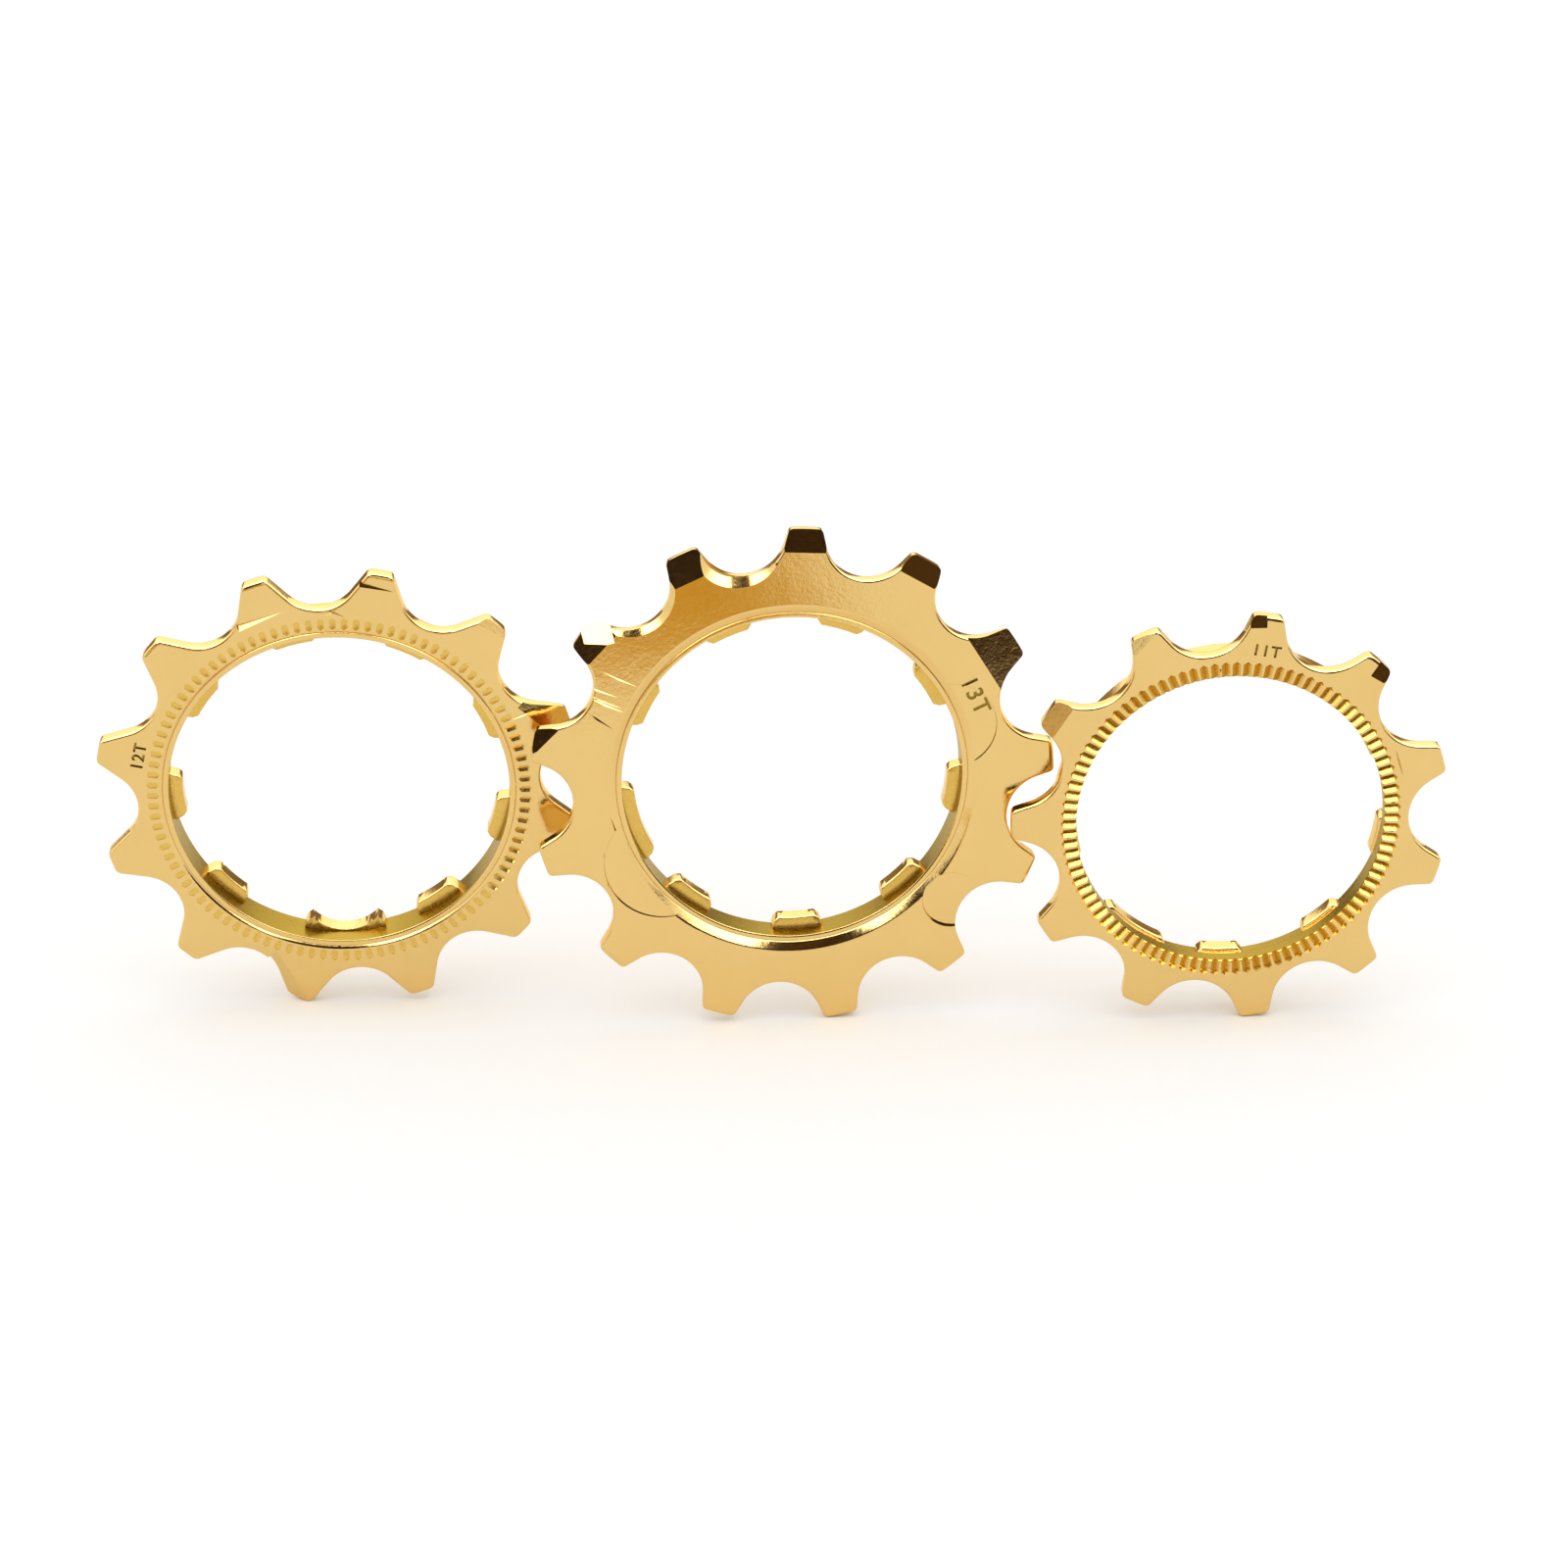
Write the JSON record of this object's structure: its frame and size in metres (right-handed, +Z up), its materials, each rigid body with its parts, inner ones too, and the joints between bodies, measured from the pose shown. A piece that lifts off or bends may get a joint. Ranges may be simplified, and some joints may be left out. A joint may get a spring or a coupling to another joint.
{
  "type": "loose cassette sprockets",
  "caption": "Small splined rear sprockets for a bicycle cassette, polished gold finish, standing in a row with their teeth in mesh.",
  "frame": {"origin": "middle of the set's bounding box, on the surface that the sprockets stand on", "axes": "+X along the row from the 12-tooth to the 11-tooth sprocket, fronts towards -Y, +Z up"},
  "size_m": [0.1376, 0.01, 0.0534],
  "materials": {
    "gold_plate": "mirror-polished gold-coloured plating on steel"
  },
  "bodies": {
    "middle_sprocket": {"sprocket_13t": "gold_plate"},
    "left_sprocket": {"sprocket_12t": "gold_plate"},
    "right_sprocket": {"sprocket_11t": "gold_plate"}
  },
  "joints": [
    {"name": "left_slide", "type": "slide", "parent": "middle_sprocket", "child": "left_sprocket", "axis": [-1, 0, 0], "range_m": [0, 0.03]},
    {"name": "right_slide", "type": "slide", "parent": "middle_sprocket", "child": "right_sprocket", "axis": [1, 0, 0], "range_m": [0, 0.03]}
  ]
}
